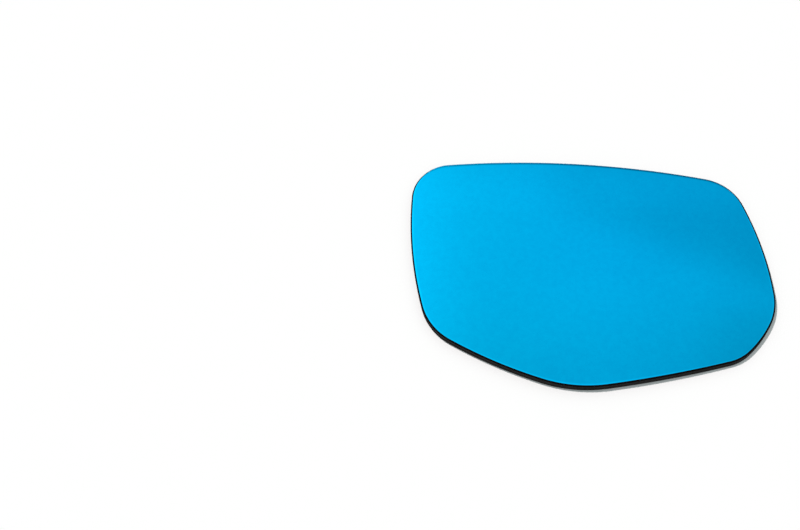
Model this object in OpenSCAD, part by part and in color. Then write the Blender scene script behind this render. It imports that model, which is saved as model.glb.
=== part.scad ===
// Convex glass of a car door mirror, bonded to the moulded plate that clips onto the mirror motor.
// The glass faces up (+Z), X runs along it towards its outer end and Y towards its top edge.
// The origin is the middle of the clip ring, on the plane of the ring's foot.

/* [Outline corners] */
// The glass is a rounded six-sided shape. These are its corners before rounding.
// Top corner of the inner end, across (X)
top_inner_x = -85.25; // [-100:0.25:-75]
// Top corner of the inner end, up (Y)
top_inner_y = 57.75; // [50:0.25:70]
// Lower corner of the inner end, across
low_inner_x = -79.75; // [-95:0.25:-70]
// Lower corner of the inner end, up
low_inner_y = -33.5; // [-45:0.25:-20]
// Lowest corner, across
low_middle_x = -8.25; // [-25:0.25:10]
// Lowest corner, up
low_middle_y = -66.75; // [-80:0.25:-60]
// Lower corner of the outer end, across
low_outer_x = 72.5; // [65:0.25:82]
// Lower corner of the outer end, up
low_outer_y = -50.75; // [-60:0.25:-45]
// Outer tip, across
tip_x = 92.5; // [85:0.25:110]
// Outer tip, up
tip_y = -22.25; // [-30:0.25:-10]
// Top corner of the outer end, across
top_outer_x = 74; // [60:0.25:80]
// Top corner of the outer end, up
top_outer_y = 47.75; // [40:0.25:60]

/* [Corner radii] */
// Top corner of the inner end
top_inner_r = 20; // [15:0.5:26]
// Lower corner of the inner end
low_inner_r = 30.5; // [20:0.5:42]
// Lowest corner
low_middle_r = 68; // [30:0.5:75]
// Lower corner of the outer end
low_outer_r = 23.5; // [15:0.5:28]
// Outer tip
tip_r = 30; // [20:0.5:36]
// Top corner of the outer end
top_outer_r = 24.5; // [15:0.5:32]

/* [Edge bulges] */
// How far the middle of each edge bows out from the line between its two corners.
// Inner end
inner_bulge = 5.3; // [2:0.1:8]
// Lower edge, on the inner side of the lowest corner
low_inner_bulge = 3.5; // [2:0.1:6]
// Lower edge, on the outer side of the lowest corner
low_outer_bulge = 1.7; // [1:0.1:5]
// Short edge below the outer tip
tip_bulge = 2.7; // [1:0.1:3]
// Outer end, above the tip
outer_bulge = 3.9; // [2:0.1:6]
// Top edge
top_bulge = 5.8; // [3:0.1:10]

/* [Glass] */
// Radius of the convex face
dome_r = 1400; // [1000:10:2000]
// Thickness of the glass
glass_t = 2; // [1.6:0.1:3]
// Radius that the cut edge of the glass is ground to
ground_r = 0.6; // [0.3:0.1:0.7]

/* [Adhesive pad] */
// Thickness of the pad between the glass and the plate
pad_t = 0.5; // [0.3:0.1:1]
// Gap between the pad and the rim of the plate
pad_gap = 0.5; // [0.2:0.1:2]

/* [Backing plate] */
// How far the plate stays inside the edge of the glass
plate_inset = 0.3; // [0.2:0.1:1.5]
// Thickness of the plate's floor
floor_t = 1.2; // [0.8:0.1:2]
// Width of the plate's rim
rim_w = 1.6; // [1:0.1:3]
// How far the rim hangs below the floor
rim_drop = 1.1; // [0.5:0.1:2]

/* [Ribs] */
// Thickness of the stiffening ribs
rib_t = 1; // [0.8:0.1:2]
// Radial ribs for each snap finger of the clip ring
ribs_per_finger = 2; // [1:1:3]
// Middle radius of the round rib that ties the radial ribs together
brace_r = 45; // [38:0.5:50]
// Height of the ribs inside the round rib. Outside it they are as deep as the rim.
hub_rib_h = 1.4; // [0.8:0.1:1.8]

/* [Clip ring] */
// Radius of the bore of the clip ring
ring_bore_r = 27; // [22:0.5:32]
// Wall of the clip ring
ring_w = 1.8; // [1.2:0.1:3]
// Height of the lowest corner of the plate's rim above the foot of the ring
ring_reach = 0.5; // [0.3:0.1:6]
// Number of snap fingers round the ring
finger_count = 8; // [6:1:12]
// Width of the slots between the fingers
slot_w = 2.4; // [1.5:0.1:4]
// Solid wall left between the plate's floor and the top of the slots
slot_root = 2; // [2:0.1:2.6]
// How far the snap beads stand out from the fingers
bead_out = 0.8; // [0.4:0.1:1.2]
// Height of the snap beads
bead_h = 2; // [1:0.1:2.4]

/* [Hidden] */
// Furthest that a chord may stray from its arc along the outline
chord_error = 0.02;
// Steps round each ring and round the dome, and along the dome's section
ring_steps = 180;
dome_steps = 1440;
// Overlap that lets parts of one piece fuse, and cutters pass their faces
lap = 1;

corners = [
    [top_inner_x, top_inner_y],
    [low_inner_x, low_inner_y],
    [low_middle_x, low_middle_y],
    [low_outer_x, low_outer_y],
    [tip_x, tip_y],
    [top_outer_x, top_outer_y]
];
radii = [top_inner_r, low_inner_r, low_middle_r, low_outer_r, tip_r, top_outer_r];
bulges = [inner_bulge, low_inner_bulge, low_outer_bulge, tip_bulge, outer_bulge, top_bulge];
sides = len(corners);

// Each edge is an arc, kept as [centre, radius], that bows out by a bulge from the line p to q
function edge_arc(p, q, bulge) =
    let (
        chord = norm(q - p),
        r = (chord * chord / 4 + bulge * bulge) / (2 * bulge),
        out = [q.y - p.y, p.x - q.x] / chord
    )
    [(p + q) / 2 - out * (r - bulge), r];
edges = [for (i = [0:sides - 1]) edge_arc(corners[i], corners[(i + 1) % sides], bulges[i])];

// The point at distance r1 from c1 and r2 from c2 that is nearer to p
function meet(c1, r1, c2, r2, p) =
    let (
        gap = norm(c2 - c1),
        along = (c2 - c1) / gap,
        across = [-along.y, along.x],
        a = (gap * gap + r1 * r1 - r2 * r2) / (2 * gap),
        h = sqrt(r1 * r1 - a * a),
        left = c1 + along * a + across * h,
        right = c1 + along * a - across * h
    )
    norm(left - p) < norm(right - p) ? left : right;

// Centre of the rounding that touches both edges at each corner
centres = [
    for (i = [0:sides - 1])
        let (before = edges[(i + sides - 1) % sides], after = edges[i])
        meet(before[0], before[1] - radii[i], after[0], after[1] - radii[i], corners[i])
];

function heading(from, to) = atan2(to.y - from.y, to.x - from.x);

// Points of an arc from a to b, without its last one. The steps suit the full radius, so that
// the outline has as many points at every inset.
function arc_points(centre, r, inset, a, b) =
    let (
        sweep = b < a ? b + 360 - a : b - a,
        steps = ceil(sweep / (2 * acos(1 - chord_error / r)))
    )
    [for (k = [0:steps - 1]) let (t = a + sweep * k / steps) centre + (r - inset) * [cos(t), sin(t)]];

// The whole outline, this far inside the edge of the glass
function outline(inset = 0) = [
    for (i = [0:sides - 1])
        let (
            before = edges[(i + sides - 1) % sides],
            edge = edges[i],
            start = heading(edge[0], centres[i]),
            end = heading(edge[0], centres[(i + 1) % sides])
        )
        each concat(
            arc_points(centres[i], radii[i], inset, heading(before[0], centres[i]), start),
            arc_points(edge[0], edge[1], inset, start, end)
        )
];

// How far the convex face falls away at a distance from the middle
function sag(distance) = dome_r - sqrt(dome_r * dome_r - distance * distance);

far_r = max([for (p = outline()) norm(p)]);
reach = far_r + lap;
// Depths below the convex face
pad_depth = glass_t;
floor_depth = pad_depth + pad_t;
rib_depth = floor_depth + floor_t;
rim_depth = rib_depth + rim_drop;
// Heights above the foot of the clip ring
face_z = ring_reach + rim_depth + sag(far_r);
ring_r = ring_bore_r + ring_w;
ring_top = face_z - sag(ring_r) - rib_depth;
finger_pitch = 360 / finger_count;
rib_pitch = finger_pitch / ribs_per_finger;

// The region between two depths below the convex face, out past the edge of the glass
module layer(top, bottom) {
    rotate_extrude($fn = ring_steps)
        intersection() {
            translate([0, face_z - dome_r])
                difference() {
                    circle(r = dome_r - top, $fn = dome_steps);
                    circle(r = dome_r - bottom, $fn = dome_steps);
                }
            square([reach, face_z + lap]);
        }
}

// A flat shape carried up and cut to the same region
module domed(top, bottom) {
    intersection() {
        layer(top, bottom);
        linear_extrude(face_z + lap) children();
    }
}

// The ground edge of the glass as rows of [inset, depth]. The first and last rows carry the
// rounding on past the two faces, so that the faces cut it cleanly.
arris = [for (q = [0:30:90]) ground_r * [1 - sin(q), 1 - cos(q)]];
lead = arris[0] + 2 * (arris[0] - arris[1]);
front_rows = [lead, arris[1], arris[2], arris[3]];
edge_rows = concat(front_rows, [for (k = [3:-1:0]) [front_rows[k].x, glass_t - front_rows[k].y]]);

// A body with that edge, closed by a cone above the face and by another below the back
module ground_blank() {
    rings = [for (row = edge_rows) [for (p = outline(row.x)) [p.x, p.y, face_z - sag(norm(p)) - row.y]]];
    n = len(rings[0]);
    last = len(rings) - 1;
    top = n * len(rings);
    points = concat([for (ring = rings) each ring], [[0, 0, face_z + sag(2 * far_r)], [0, 0, 0]]);
    walls = [
        for (row = [0:last - 1]) for (i = [0:n - 1])
            let (a = row * n + i, b = row * n + (i + 1) % n)
            each [[a, b, b + n], [a, b + n, a + n]]
    ];
    caps = [
        for (i = [0:n - 1])
            let (j = (i + 1) % n)
            each [[top, j, i], [top + 1, last * n + i, last * n + j]]
    ];
    polyhedron(points, concat(walls, caps));
}

// One sheet of convex glass with a ground edge
module mirror_glass() {
    color([0.01, 0.65, 0.89])
        intersection() {
            layer(0, glass_t);
            ground_blank();
        }
}

// Thin pad that bonds the glass to the plate, inside the plate's rim
module adhesive_pad() {
    color([0.2, 0.2, 0.2])
        domed(pad_depth, floor_depth)
            polygon(outline(plate_inset + rim_w + pad_gap));
}

// Rim that holds the edge of the glass and stands round the pad
module plate_rim() {
    domed(glass_t, rim_depth)
        difference() {
            polygon(outline(plate_inset));
            polygon(outline(plate_inset + rim_w));
        }
}

// Floor under the pad, out to the outside of the rim
module plate_floor() {
    domed(floor_depth, rib_depth)
        polygon(outline(plate_inset));
}

// Radial ribs that start at one radius and run outwards
module rib_spokes(start_r) {
    difference() {
        for (i = [0:finger_count * ribs_per_finger - 1])
            rotate((i + 0.5) * rib_pitch)
                translate([0, -rib_t / 2])
                    square([reach, rib_t]);
        circle(r = start_r, $fn = ring_steps);
    }
}

// Tall ribs from the clip ring to the round rib, and low ones from there out into the rim
module plate_ribs() {
    domed(floor_depth, rib_depth + hub_rib_h) {
        intersection() {
            rib_spokes(ring_bore_r + ring_w / 2);
            circle(r = brace_r, $fn = ring_steps);
        }
        difference() {
            circle(r = brace_r + rib_t / 2, $fn = ring_steps);
            circle(r = brace_r - rib_t / 2, $fn = ring_steps);
        }
    }
    domed(floor_depth, rim_depth)
        intersection() {
            rib_spokes(brace_r);
            polygon(outline(plate_inset + rim_w / 2));
        }
}

// Ring of snap fingers that grips the motor's carrier, with a bead round its foot
module clip_ring() {
    difference() {
        union() {
            cylinder(r = ring_r, h = ring_top + floor_t / 2, $fn = ring_steps);
            rotate_extrude($fn = ring_steps)
                polygon([
                    [ring_bore_r + ring_w / 2, 0],
                    [ring_r, 0],
                    [ring_r + bead_out, bead_h / 2],
                    [ring_r + bead_out, bead_h * 0.6],
                    [ring_r, bead_h],
                    [ring_bore_r + ring_w / 2, bead_h]
                ]);
        }
        translate([0, 0, -lap])
            cylinder(r = ring_bore_r, h = ring_top + floor_t / 2 + 2 * lap, $fn = ring_steps);
        for (i = [0:finger_count - 1])
            rotate(i * finger_pitch)
                translate([0, -slot_w / 2, -lap])
                    cube([ring_r + bead_out + lap, slot_w, ring_top - slot_root + lap]);
    }
}

// One moulding: rim, floor, ribs and clip ring
module backing_plate() {
    color([0.08, 0.08, 0.09]) {
        plate_rim();
        plate_floor();
        plate_ribs();
        clip_ring();
    }
}

mirror_glass();
adhesive_pad();
backing_plate();
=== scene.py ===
"""Looks of the car door mirror glass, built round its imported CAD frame. Lengths are in metres."""

import math

import bpy
import numpy as np
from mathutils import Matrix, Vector


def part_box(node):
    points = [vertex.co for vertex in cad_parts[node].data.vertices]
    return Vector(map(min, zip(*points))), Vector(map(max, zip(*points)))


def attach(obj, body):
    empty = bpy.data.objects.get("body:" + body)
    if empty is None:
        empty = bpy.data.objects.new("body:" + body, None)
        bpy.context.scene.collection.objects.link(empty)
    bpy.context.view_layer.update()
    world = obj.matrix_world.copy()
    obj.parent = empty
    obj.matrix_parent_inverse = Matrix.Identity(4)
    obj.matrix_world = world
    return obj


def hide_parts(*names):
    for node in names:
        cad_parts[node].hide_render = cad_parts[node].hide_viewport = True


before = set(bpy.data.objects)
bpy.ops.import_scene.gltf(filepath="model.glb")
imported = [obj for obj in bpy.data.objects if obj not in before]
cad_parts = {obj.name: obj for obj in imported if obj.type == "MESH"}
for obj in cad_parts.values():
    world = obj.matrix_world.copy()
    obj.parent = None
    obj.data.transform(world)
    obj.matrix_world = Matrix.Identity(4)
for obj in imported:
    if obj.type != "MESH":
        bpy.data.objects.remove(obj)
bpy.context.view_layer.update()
scene = bpy.context.scene
MM = 0.001

# The same values as in part.scad, in millimetres
CORNERS = [(-85.25, 57.75), (-79.75, -33.5), (-8.25, -66.75), (72.5, -50.75), (92.5, -22.25), (74, 47.75)]
CORNER_RADII = [20, 30.5, 68, 23.5, 30, 24.5]
BULGES = [5.3, 3.5, 1.7, 2.7, 3.9, 5.8]
DOME_R = 1400
GLASS_T = 2
GROUND_R = 0.6
# The solid's outline is made of chords up to this far inside its arcs. The mesh is drawn in by as
# much, so that it stays inside the solid.
CHORD_ERROR = 0.02

# What the edge shows and the solid doesn't have, in millimetres: the width of the dull band that
# the grinding wheel leaves between the coat and the edge, and how much narrower it is along the top
# edge and along the inner end. Along the top edge the narrowing is a painted reflection: the coat is
# drawn nearer the edge to stand in for the reflection seen along the far edge.
DULL_W = 0.85
DULL_TOP_CUT = 0.6
DULL_INNER_CUT = 0.13
# Width and slope of the roll-off that bending leaves inside the rounding of the edge
ROLL_W = 1.3
ROLL_SLOPE = math.radians(5)

# Steps of the mesh: along the edge in millimetres, and rows over the face, over each quarter turn
# or band of the edge, and over the back
EDGE_STEP = 0.8
FACE_ROWS = 26
TURN_ROWS = 10
BACK_ROWS = 6
# Material slots of the glass
COAT, DULL, SIDE, PAINT = range(4)

# Height of the middle of the face
FACE_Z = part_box("mirror_glass")[1][2] / MM


# Outline


def edge_arc(p, q, bulge):
    """(centre, radius) of the arc that bows out by bulge from the line p to q."""
    chord = np.linalg.norm(q - p)
    r = (chord * chord / 4 + bulge * bulge) / (2 * bulge)
    out = np.array([q[1] - p[1], p[0] - q[0]]) / chord
    return (p + q) / 2 - out * (r - bulge), r


def meet(c1, r1, c2, r2, near):
    """The point r1 from c1 and r2 from c2 that is nearer to a given one."""
    gap = np.linalg.norm(c2 - c1)
    along = (c2 - c1) / gap
    across = np.array([-along[1], along[0]])
    a = (gap * gap + r1 * r1 - r2 * r2) / (2 * gap)
    h = math.sqrt(r1 * r1 - a * a)
    both = [c1 + along * a + across * h, c1 + along * a - across * h]
    return min(both, key=lambda point: np.linalg.norm(point - near))


def heading(a, b):
    return math.atan2(b[1] - a[1], b[0] - a[0])


def outline(step):
    """Points of the glass's edge and their outward normals, about a step apart, anticlockwise."""
    corners = [np.array(c, float) for c in CORNERS]
    n = len(corners)
    edges = [edge_arc(corners[i], corners[(i + 1) % n], BULGES[i]) for i in range(n)]
    centres = [
        meet(
            edges[i - 1][0],
            edges[i - 1][1] - CORNER_RADII[i],
            edges[i][0],
            edges[i][1] - CORNER_RADII[i],
            corners[i],
        )
        for i in range(n)
    ]
    points, normals = [], []
    for i in range(n):
        before, edge = edges[i - 1], edges[i]
        start = heading(edge[0], centres[i])
        end = heading(edge[0], centres[(i + 1) % n])
        arcs = [
            (centres[i], CORNER_RADII[i], heading(before[0], centres[i]), start),
            (edge[0], edge[1], start, end),
        ]
        for centre, r, a, b in arcs:
            sweep = (b - a) % (2 * math.pi)
            count = max(2, round(sweep * r / step))
            for k in range(count):
                t = a + sweep * k / count
                normal = np.array([math.cos(t), math.sin(t)])
                points.append(centre + r * normal)
                normals.append(normal)
    return np.array(points), np.array(normals)


# Glass


def dome(xy, depth):
    """Points this deep below the convex face, and the face's normals there."""
    r2 = (xy**2).sum(1)
    rise = np.sqrt(DOME_R**2 - r2)
    z = FACE_Z - DOME_R + rise - depth
    return np.column_stack([xy, z]), np.column_stack([xy, rise]) / DOME_R


def tilted(up, out, angle):
    """Normals turned outwards by one angle, or by an angle each."""
    flat = np.column_stack([out, np.zeros(len(out))])
    angle = np.reshape(angle, (-1, 1))
    return up * np.cos(angle) + flat * np.sin(angle)


def dull_width(out):
    """Width of the dull band at each outward normal of the outline."""
    # The narrowing along the top edge is a painted reflection: there the coat stands in for the far edge's
    # reflection.
    top = DULL_TOP_CUT * np.maximum(out[:, 1], 0) ** 3
    inner = DULL_INNER_CUT * np.maximum(-out[:, 0], 0)
    return DULL_W - top - inner


def front(edge, out, inset):
    """Points this far inside the edge on the front of the glass, and the normals there."""
    roll = np.clip(1 - (inset - GROUND_R) / ROLL_W, 0, 1)
    turn = np.arcsin(np.clip(1 - inset / GROUND_R, 0, 1))
    fall = ROLL_SLOPE * ROLL_W * roll**2 / 2 + GROUND_R * (1 - np.cos(turn))
    points, up = dome(edge - out * inset[:, None], fall)
    return points, tilted(up, out, np.maximum(turn, ROLL_SLOPE * roll))


def back(edge, out, turn):
    """Points at a turn of the rounding behind the edge, and the normals there."""
    points, up = dome(edge - out * GROUND_R * (1 - math.sin(turn)), GLASS_T - GROUND_R * (1 - math.cos(turn)))
    return points, tilted(-up, out, turn)


def glass_rows(edge, out):
    """Rows of (points, normals, slot of the band that follows), from the middle of the face round
    the edge to the middle of the back."""
    turns = np.radians(np.linspace(0, 90, TURN_ROWS + 1))
    dull = dull_width(out)
    rolled = np.full(len(edge), GROUND_R + ROLL_W)
    plain = edge - out * (GROUND_R + ROLL_W)
    coat = [dome(plain * s, 0) for s in np.linspace(0, 1, FACE_ROWS + 1)[1:]]
    coat += [front(edge, out, dull + (rolled - dull) * (1 - math.sin(q))) for q in turns[1:-1]]
    inner = edge - out * GROUND_R
    under = [dome(inner * s, GLASS_T) for s in np.linspace(1, 0, BACK_ROWS + 2)[1:-1]]
    bands = [
        (COAT, coat),
        (DULL, [front(edge, out, dull * (1 - math.sin(q))) for q in turns[:-1]]),
        (SIDE, [front(edge, out, 0 * dull)]),
        (DULL, [back(edge, out, q) for q in turns[:0:-1]]),
        (PAINT, [back(edge, out, 0)] + [(points, -up) for points, up in under]),
    ]
    return [(points, normals, slot) for slot, band in bands for points, normals in band]


def make_glass():
    """The sheet of glass as one closed mesh, with its true normals and a material slot for each band."""
    edge, out = outline(EDGE_STEP)
    edge -= out * CHORD_ERROR
    n = len(edge)
    rows = glass_rows(edge, out)
    top, _ = dome(np.zeros((1, 2)), 0)
    under, _ = dome(np.zeros((1, 2)), GLASS_T)
    points = np.vstack([row[0] for row in rows] + [top, under]) * MM
    normals = np.vstack([row[1] for row in rows] + [[[0, 0, 1], [0, 0, -1]]])
    faces, looks = [], []
    for k in range(len(rows) - 1):
        for i in range(n):
            j = (i + 1) % n
            faces.append((k * n + i, (k + 1) * n + i, (k + 1) * n + j, k * n + j))
            looks.append(rows[k][2])
    apex, nadir = len(points) - 2, len(points) - 1
    last = (len(rows) - 1) * n
    for i in range(n):
        j = (i + 1) % n
        faces.append((apex, i, j))
        looks.append(COAT)
        faces.append((nadir, last + j, last + i))
        looks.append(PAINT)
    mesh = bpy.data.meshes.new("glass_sheet")
    mesh.from_pydata(points.tolist(), [], faces)
    mesh.polygons.foreach_set("material_index", looks)
    mesh.polygons.foreach_set("use_smooth", [True] * len(faces))
    normals /= np.linalg.norm(normals, axis=1)[:, None]
    mesh.normals_split_custom_set_from_vertices(normals.tolist())
    glass = bpy.data.objects.new("glass_sheet", mesh)
    scene.collection.objects.link(glass)
    return glass


# Materials


class Nodes:
    """Short ways to build a node tree."""

    def __init__(self, tree):
        self.tree = tree
        tree.nodes.clear()

    def add(self, kind, **values):
        node = self.tree.nodes.new(kind)
        for name, value in values.items():
            setattr(node, name, value)
        return node

    def link(self, source, target):
        self.tree.links.new(source, target)

    def feed(self, socket, value):
        if isinstance(value, bpy.types.NodeSocket):
            self.link(value, socket)
        else:
            socket.default_value = value

    def math(self, operation, a, b=0.0, c=None):
        node = self.add("ShaderNodeMath", operation=operation)
        self.feed(node.inputs[0], a)
        self.feed(node.inputs[1], b)
        if c is not None:
            self.feed(node.inputs[2], c)
        return node.outputs[0]

    def ease(self, value, low, high, to_low=0.0, to_high=1.0):
        """A smooth step from to_low, where value is low, to to_high, where it is high."""
        node = self.add("ShaderNodeMapRange", interpolation_type="SMOOTHSTEP")
        for socket, v in zip(node.inputs[:5], (value, low, high, to_low, to_high)):
            self.feed(socket, v)
        return node.outputs[0]

    def bump_between(self, value, start, high, fall, end, height):
        """Rises smoothly to a height from start to high, and falls back to 0 from fall to end."""
        return self.math("MULTIPLY", self.ease(value, start, high, 0, height), self.ease(value, end, fall))

    def noise(self, place, scale, detail=3.0, rough=0.5):
        """Soft noise with this many patches to the metre."""
        node = self.add("ShaderNodeTexNoise")
        self.feed(node.inputs["Vector"], place)
        self.feed(node.inputs["Scale"], scale)
        self.feed(node.inputs["Detail"], detail)
        self.feed(node.inputs["Roughness"], rough)
        return node.outputs["Fac"]

    def blend(self, amount, a, b):
        """The colour a where amount is 0, and b where it is 1."""
        # Inputs 6 and 7 and output 2 are the node's colour sockets
        node = self.add("ShaderNodeMix", data_type="RGBA")
        self.feed(node.inputs[0], amount)
        self.feed(node.inputs[6], a)
        self.feed(node.inputs[7], b)
        return node.outputs[2]

    def bump(self, height, distance, strength=1.0):
        """Relief of this depth, in metres."""
        node = self.add("ShaderNodeBump")
        self.feed(node.inputs["Height"], height)
        self.feed(node.inputs["Distance"], distance)
        self.feed(node.inputs["Strength"], strength)
        return node.outputs["Normal"]


def material(name):
    """A new material with its nodes, its shader and object coordinates."""
    made = bpy.data.materials.new(name)
    made.use_nodes = True
    nodes = Nodes(made.node_tree)
    shader = nodes.add("ShaderNodeBsdfPrincipled")
    nodes.link(shader.outputs[0], nodes.add("ShaderNodeOutputMaterial").inputs[0])
    place = nodes.add("ShaderNodeTexCoord").outputs["Object"]
    return made, nodes, shader, place


def rgb(r, g, b):
    return (r, g, b, 1.0)


def mirror_face():
    """Blue reflecting coat: its tint drifts a little, and wiping leaves it a faint uneven haze."""
    made, nodes, shader, place = material("blue_mirror_coat")
    drift = nodes.ease(nodes.noise(place, 14, 1), 0.35, 0.65)
    speck = nodes.ease(nodes.noise(place, 330, 5, 0.8), 0.3, 0.7)
    mixed = nodes.math("MULTIPLY_ADD", speck, 0.7, nodes.math("MULTIPLY", drift, 0.3))
    tint = nodes.blend(mixed, rgb(0.0004, 0.502, 0.896), rgb(0.0004, 0.564, 0.964))
    nodes.link(tint, shader.inputs["Base Color"])
    haze = nodes.ease(nodes.noise(place, 45, 5, 0.6), 0.3, 0.75, 0.03, 0.06)
    nodes.link(haze, shader.inputs["Roughness"])
    shader.inputs["Metallic"].default_value = 1.0
    return made


def ground_glass(name, dark, light):
    """Dull ground glass with the fine grain that the wheel leaves."""
    made, nodes, shader, place = material(name)
    grain = nodes.noise(place, 4200, 4, 0.6)
    patch = nodes.noise(place, 260, 3)
    mixed = nodes.math("MULTIPLY_ADD", patch, 0.5, nodes.math("MULTIPLY", grain, 0.5))
    nodes.link(nodes.blend(nodes.ease(mixed, 0.35, 0.65), dark, light), shader.inputs["Base Color"])
    nodes.link(nodes.ease(grain, 0.3, 0.7, 0.75, 0.95), shader.inputs["Roughness"])
    nodes.link(nodes.bump(grain, 0.00002, 0.6), shader.inputs["Normal"])
    shader.inputs["Specular IOR Level"].default_value = 0.05
    return made


def ground_rounding():
    """The roundings and the dull band, which look nearly black."""
    return ground_glass("ground_glass_rounding", rgb(0.0022, 0.0018, 0.0017), rgb(0.006, 0.005, 0.0047))


def ground_side():
    """The lighter line round the middle of the edge: the ground glass's own grey, made lighter than the
    nearly black roundings as a painted highlight.
    """
    return ground_glass("ground_glass_side", rgb(0.027, 0.024, 0.023), rgb(0.055, 0.05, 0.048))


def back_paint():
    """Grey paint over the coat on the back of the glass."""
    made, nodes, shader, place = material("glass_back_paint")
    cloud = nodes.noise(place, 90, 4)
    tone = nodes.blend(cloud, rgb(0.05, 0.05, 0.052), rgb(0.075, 0.075, 0.077))
    nodes.link(tone, shader.inputs["Base Color"])
    nodes.link(nodes.ease(cloud, 0.3, 0.7, 0.5, 0.65), shader.inputs["Roughness"])
    return made


def foam_tape():
    """Black foam with fine open pores, which are painted darker towards their middles as painted shade."""
    made, nodes, shader, place = material("foam_tape")
    pores = nodes.add("ShaderNodeTexVoronoi")
    nodes.link(place, pores.inputs["Vector"])
    pores.inputs["Scale"].default_value = 1600
    depth = pores.outputs["Distance"]
    # The pits are painted darker than their rims: painted shade.
    tone = nodes.blend(depth, rgb(0.012, 0.012, 0.012), rgb(0.04, 0.04, 0.04))
    nodes.link(tone, shader.inputs["Base Color"])
    shader.inputs["Roughness"].default_value = 0.9
    nodes.link(nodes.bump(depth, 0.00015, 0.7), shader.inputs["Normal"])
    return made


def black_plastic():
    """Black moulded plastic. Its flats have a fine spark grain, and the walls along the mould's draw
    are smoother. The walls are painted much darker than the flats, as painted shade."""
    made, nodes, shader, place = material("black_moulded_plastic")
    normal = nodes.add("ShaderNodeSeparateXYZ")
    nodes.link(nodes.add("ShaderNodeTexCoord").outputs["Normal"], normal.inputs[0])
    flat = nodes.ease(nodes.math("ABSOLUTE", normal.outputs["Z"]), 0.2, 0.7)
    flow = nodes.ease(nodes.noise(place, 30, 4, 0.55), 0.3, 0.7)
    # Walls get a much darker tone than the flats: painted shade.
    shaded_wall_tone = nodes.blend(flow, rgb(0.0035, 0.0033, 0.0033), rgb(0.0055, 0.0052, 0.0052))
    on_flats = nodes.blend(flow, rgb(0.018, 0.018, 0.0187), rgb(0.026, 0.026, 0.0268))
    nodes.link(nodes.blend(flat, shaded_wall_tone, on_flats), shader.inputs["Base Color"])
    nodes.link(nodes.ease(flow, 0, 1, 0.74, 0.86), shader.inputs["Roughness"])
    grain = nodes.math("MULTIPLY", nodes.noise(place, 2600, 3, 0.55), flat)
    nodes.link(nodes.bump(grain, 0.00003, 0.6), shader.inputs["Normal"])
    shader.inputs["Specular IOR Level"].default_value = 0.08
    return made


def dress(node_name, look):
    """Gives a CAD node its material."""
    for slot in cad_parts[node_name].material_slots:
        slot.material = look


# The object

glass = make_glass()
for look in (mirror_face(), ground_rounding(), ground_side(), back_paint()):
    glass.data.materials.append(look)
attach(glass, "root")
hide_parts("mirror_glass")
dress("adhesive_pad", foam_tape())
dress("backing_plate", black_plastic())


# Floor, light and camera


def seen(nodes):
    """1 on rays by which the camera sees something directly, in a mirror or through glass."""
    path = nodes.add("ShaderNodeLightPath")
    first = nodes.math("MAXIMUM", path.outputs["Is Camera Ray"], path.outputs["Is Glossy Ray"])
    return nodes.math("MAXIMUM", first, path.outputs["Is Transmission Ray"])


def make_floor():
    """White floor that keeps the shadow. From below it is open, and the light that it would throw back
    onto the object comes from the world."""
    half = 2.0
    reflectance = 0.8
    lift_colour = rgb(0.9, 1, 1)
    lift_strength = 0.2
    corners = [(-half, -half, 0), (half, -half, 0), (half, half, 0), (-half, half, 0)]
    mesh = bpy.data.meshes.new("floor")
    mesh.from_pydata(corners, [], [(0, 1, 2, 3)])
    floor = bpy.data.objects.new("floor", mesh)
    scene.collection.objects.link(floor)
    made = bpy.data.materials.new("white_floor")
    made.use_nodes = True
    nodes = Nodes(made.node_tree)
    diffuse = nodes.add("ShaderNodeBsdfDiffuse")
    diffuse.inputs["Color"].default_value = rgb(reflectance, reflectance, reflectance)
    lift = nodes.add("ShaderNodeEmission")
    lift.inputs["Color"].default_value = lift_colour
    nodes.link(nodes.math("MULTIPLY", seen(nodes), lift_strength), lift.inputs["Strength"])
    both = nodes.add("ShaderNodeAddShader")
    nodes.link(diffuse.outputs[0], both.inputs[0])
    nodes.link(lift.outputs[0], both.inputs[1])
    clear = nodes.add("ShaderNodeBsdfTransparent")
    open_below = choose(nodes, nodes.add("ShaderNodeNewGeometry").outputs["Backfacing"], both, clear)
    nodes.link(open_below.outputs[0], nodes.add("ShaderNodeOutputMaterial").inputs[0])
    mesh.materials.append(made)
    floor.visible_diffuse = False


def wall_tone(nodes, x):
    """Grey of the bright wall on the left, which falls off towards the right from x = -0.1 to 0.3."""
    ramp = nodes.add("ShaderNodeValToRGB")
    nodes.link(nodes.math("MULTIPLY_ADD", x, 2.5, 0.25), ramp.inputs[0])
    places = (0.0, 0.06, 0.15, 0.26, 0.5, 0.68, 0.82, 1.0)
    tones = (0.97, 0.9, 0.825, 0.785, 0.755, 0.71, 0.68, 0.62)
    while len(ramp.color_ramp.elements) < len(places):
        ramp.color_ramp.elements.new(0.5)
    for element, at, tone in zip(ramp.color_ramp.elements, places, tones):
        element.position = at
        element.color = rgb(tone, tone, tone)
    return ramp.outputs["Color"]


def darker_parts(nodes, x, y):
    """What the wall's tone loses: at the slanted edge of a screen on the upper right, in a dark gap far
    up, low down, and in the low right corner."""
    slant = nodes.math("MULTIPLY_ADD", x, 0.37, nodes.math("MULTIPLY", y, 0.92))
    screen = nodes.math("MULTIPLY", nodes.ease(slant, 0.469, 0.525, 0, 0.105), nodes.ease(x, 0.0, 0.1))
    far = nodes.bump_between(y, 0.575, 0.68, 0.9, 0.97, 0.42)
    gap = nodes.math("MULTIPLY", far, nodes.ease(x, 0.38, 0.3))
    low = nodes.ease(y, 0.44, 0.3, 0, 0.09)
    corner = nodes.math("MULTIPLY", nodes.ease(y, 0.42, 0.38, 0, 0.045), nodes.ease(x, 0.18, 0.25))
    return nodes.math("ADD", nodes.math("ADD", screen, gap), nodes.math("ADD", low, corner))


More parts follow.
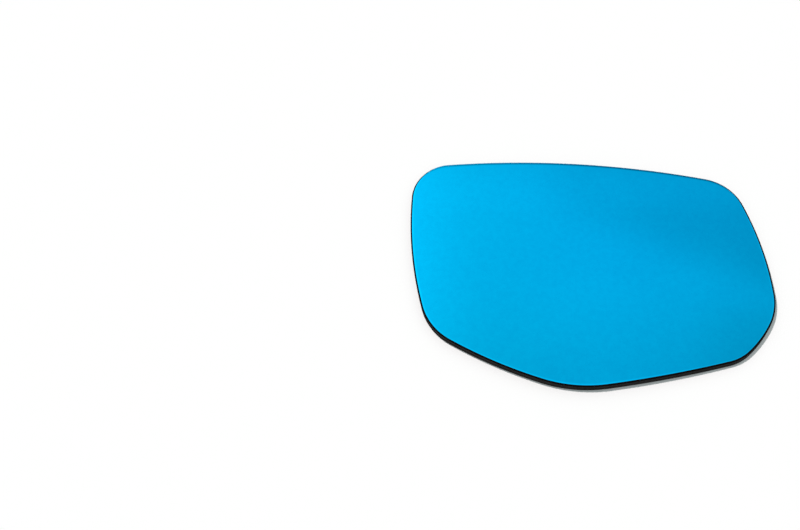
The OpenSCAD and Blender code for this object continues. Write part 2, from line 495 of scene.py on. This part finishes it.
def brighter_parts(nodes, x, y):
    """What the wall's tone gains: in a faint band across, and in three strips that only the rolled
    edge reflects."""
    left = nodes.bump_between(x, -0.115, -0.2, -0.26, -0.4, 0.27)
    right = nodes.bump_between(x, 0.27, 0.37, 0.45, 0.6, 0.17)
    near = nodes.bump_between(y, 0.33, 0.2, 0.14, 0, 0.25)
    band = nodes.bump_between(y, 0.505, 0.525, 0.54, 0.56, 0.025)
    return nodes.math("ADD", nodes.math("ADD", near, band), nodes.math("ADD", left, right))


def reflected_studio(nodes, x, y):
    """The studio as the glass reflects it, a little bluer towards the right and far away."""
    show = nodes.add("ShaderNodeBackground")
    change = nodes.math("SUBTRACT", brighter_parts(nodes, x, y), darker_parts(nodes, x, y))
    nodes.link(nodes.math("ADD", wall_tone(nodes, x), change), show.inputs["Strength"])
    cast = nodes.add("ShaderNodeCombineColor")
    cast.inputs[0].default_value = 1.0
    cast.inputs[1].default_value = 1.0
    across = nodes.ease(x, -0.12, 0.15, 1.07, 1.15)
    away = nodes.ease(y, 0.33, 0.52, 0.955, 1)
    nodes.link(nodes.math("MULTIPLY", across, away), cast.inputs[2])
    nodes.link(cast.outputs[0], show.inputs["Color"])
    return show


def fill_strength(nodes, z):
    """Soft light from overhead, and from below in place of what the floor would throw back."""
    overhead_strength, below_strength = 0.6, 0.7
    upward = nodes.math("POWER", nodes.math("MAXIMUM", z, 0), 2.0)
    overhead = nodes.math("MULTIPLY", upward, overhead_strength)
    return nodes.math("ADD", overhead, nodes.ease(z, 0, -0.2, 0, below_strength))


def plain_background(nodes, colour, strength):
    plain = nodes.add("ShaderNodeBackground")
    plain.inputs["Color"].default_value = colour
    nodes.feed(plain.inputs["Strength"], strength)
    return plain


def choose(nodes, amount, a, b):
    """The shader a where amount is 0, and b where it is 1."""
    mix = nodes.add("ShaderNodeMixShader")
    nodes.link(amount, mix.inputs[0])
    nodes.link(a.outputs[0], mix.inputs[1])
    nodes.link(b.outputs[0], mix.inputs[2])
    return mix


def make_world():
    """A soft fill, shown as white where it is seen directly, and a studio in reflections. x, y and z
    are the parts of a ray's direction."""
    world = bpy.data.worlds.new("studio")
    scene.world = world
    world.use_nodes = True
    nodes = Nodes(world.node_tree)
    split = nodes.add("ShaderNodeSeparateXYZ")
    nodes.link(nodes.add("ShaderNodeTexCoord").outputs["Generated"], split.inputs[0])
    x, y, z = split.outputs
    fill_colour = rgb(0.88, 1, 1)
    white = plain_background(nodes, rgb(1, 1, 1), 1.0)
    fill = plain_background(nodes, fill_colour, fill_strength(nodes, z))
    path = nodes.add("ShaderNodeLightPath")
    clear = nodes.math("MAXIMUM", path.outputs["Is Camera Ray"], path.outputs["Is Transmission Ray"])
    lit = choose(nodes, path.outputs["Is Glossy Ray"], fill, reflected_studio(nodes, x, y))
    shown = choose(nodes, clear, lit, white)
    nodes.link(shown.outputs[0], nodes.add("ShaderNodeOutputWorld").inputs[0])


def make_key():
    """Small lamp from the upper left, which gives the short shadow its edge."""
    lamp = bpy.data.lights.new("key", "SUN")
    lamp.energy = 2.5
    lamp.color = (1.0, 0.925, 0.92)
    lamp.angle = math.radians(3)
    key = bpy.data.objects.new("key", lamp)
    shines_along = Vector((0.31, 0.04, -1.0))
    key.rotation_euler = shines_along.to_track_quat("-Z", "Y").to_euler()
    key.visible_glossy = False
    scene.collection.objects.link(key)


def make_camera():
    """Looks down along +Y, with the middle of the face at its pixel of an 800 by 530 picture."""
    image_w, image_h = 800, 530
    face_px, face_py = 588.31, 264.82
    focal_px = 2163.0
    distance = 1.07358
    tilt = math.radians(63)
    sensor_mm = 36
    forward = Vector((0, math.cos(tilt), -math.sin(tilt)))
    right = Vector((1, 0, 0))
    up = Vector((0, math.sin(tilt), math.cos(tilt)))
    aside = right * (face_px - image_w / 2) / focal_px + up * (image_h / 2 - face_py) / focal_px
    data = bpy.data.cameras.new("camera")
    data.sensor_width = sensor_mm
    data.lens = focal_px / image_w * sensor_mm
    data.clip_start = 0.05
    camera = bpy.data.objects.new("camera", data)
    camera.location = Vector((0, 0, FACE_Z * MM)) - (forward + aside) * distance
    camera.rotation_euler = (math.pi / 2 - tilt, 0, 0)
    scene.collection.objects.link(camera)
    scene.camera = camera


make_floor()
make_world()
make_key()
make_camera()
scene.view_settings.view_transform = "Standard"
